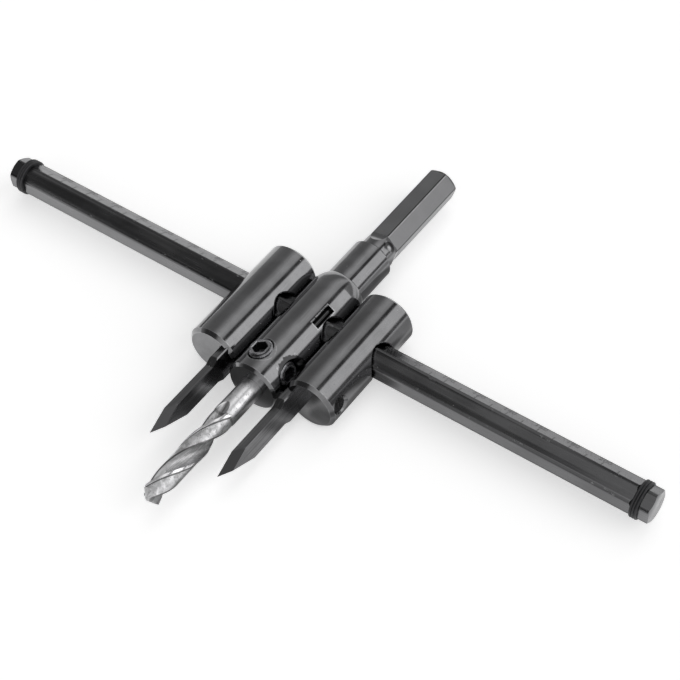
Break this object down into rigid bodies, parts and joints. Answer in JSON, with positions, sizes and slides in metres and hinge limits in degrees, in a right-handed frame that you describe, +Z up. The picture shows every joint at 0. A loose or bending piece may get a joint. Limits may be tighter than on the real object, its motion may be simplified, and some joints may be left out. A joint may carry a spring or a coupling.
{
  "type": "adjustable circle cutter",
  "caption": "Adjustable circle cutter: a drill hub on a hexagonal shank, with a crossbar carrying sliding holders for spear-point cutters round a pilot drill.",
  "frame": {"origin": "where the crossbar's axis crosses the tool's axis, inside the hub", "axes": "+X along the crossbar to the right seen from above with the drill toward the viewer, +Y along the tool axis toward the shank end, +Z up from the surface that it lies on"},
  "size_m": [0.2266, 0.1427, 0.0182],
  "materials": {
    "turned_steel": "semi-gloss dark oxide over fine turning",
    "bar_steel": "satin dark oxide",
    "cutter_steel": "ground lengthwise, dark oxide",
    "drill_steel": "bright ground, slightly pitted",
    "screw_steel": "black oxide",
    "ring_rubber": "matte"
  },
  "bodies": {
    "hub": {"hub_body": "turned_steel"},
    "bar": {"crossbar": "bar_steel", "left_stop_ring": "ring_rubber", "right_stop_ring": "ring_rubber"},
    "drill": {"pilot_drill": "drill_steel"},
    "top_drill_screw": {"top_drill_screw": "screw_steel"},
    "side_drill_screw": {"side_drill_screw": "screw_steel"},
    "hub_bar_screw": {"hub_bar_screw": "screw_steel"},
    "left_holder": {"left_holder": "turned_steel"},
    "left_cutter": {"left_cutter": "cutter_steel"},
    "left_bar_screw": {"left_bar_screw": "screw_steel"},
    "left_cutter_screw": {"left_cutter_screw": "screw_steel"},
    "right_holder": {"right_holder": "turned_steel"},
    "right_cutter": {"right_cutter": "cutter_steel"},
    "right_bar_screw": {"right_bar_screw": "screw_steel"},
    "right_cutter_screw": {"right_cutter_screw": "screw_steel"}
  },
  "joints": [
    {"name": "bar_slide", "type": "slide", "parent": "hub", "child": "bar", "axis": [1, 0, 0], "range_m": [-0.0045, 0.0045]},
    {"name": "left_holder_slide", "type": "slide", "parent": "hub", "child": "left_holder", "axis": [-1, 0, 0], "range_m": [0, 0.0765]},
    {"name": "right_holder_slide", "type": "slide", "parent": "hub", "child": "right_holder", "axis": [1, 0, 0], "range_m": [0, 0.0765]},
    {"name": "left_cutter_slide", "type": "slide", "parent": "left_holder", "child": "left_cutter", "axis": [0, -1, 0], "range_m": [0, 0.005]},
    {"name": "right_cutter_slide", "type": "slide", "parent": "right_holder", "child": "right_cutter", "axis": [0, -1, 0], "range_m": [0, 0.005]},
    {"name": "drill_slide", "type": "slide", "parent": "hub", "child": "drill", "axis": [0, -1, 0], "range_m": [0, 0.005]},
    {"name": "top_drill_screw_turn", "type": "hinge", "parent": "hub", "child": "top_drill_screw", "pos_m": [0, -0.0202, 0], "axis": [-0.2079, 0, 0.9781], "range_deg": [0, 180]},
    {"name": "side_drill_screw_turn", "type": "hinge", "parent": "hub", "child": "side_drill_screw", "pos_m": [0, -0.019, 0], "axis": [0.9781, 0, 0.2079], "range_deg": [0, 180]},
    {"name": "hub_bar_screw_turn", "type": "hinge", "parent": "hub", "child": "hub_bar_screw", "pos_m": [0, -0.0071, 0], "axis": [0, -1, 0], "range_deg": [0, 180]},
    {"name": "left_bar_screw_turn", "type": "hinge", "parent": "left_holder", "child": "left_bar_screw", "pos_m": [-0.0172, 0.008, 0], "axis": [0, 1, 0], "range_deg": [0, 180]},
    {"name": "right_bar_screw_turn", "type": "hinge", "parent": "right_holder", "child": "right_bar_screw", "pos_m": [0.0172, 0.008, 0], "axis": [0, 1, 0], "range_deg": [0, 180]},
    {"name": "left_cutter_screw_turn", "type": "hinge", "parent": "left_holder", "child": "left_cutter_screw", "pos_m": [-0.0172, -0.0199, 0], "axis": [-0.9781, 0, -0.2079], "range_deg": [0, 180]},
    {"name": "right_cutter_screw_turn", "type": "hinge", "parent": "right_holder", "child": "right_cutter_screw", "pos_m": [0.0172, -0.0199, 0], "axis": [0.9781, 0, 0.2079], "range_deg": [0, 180]}
  ]
}
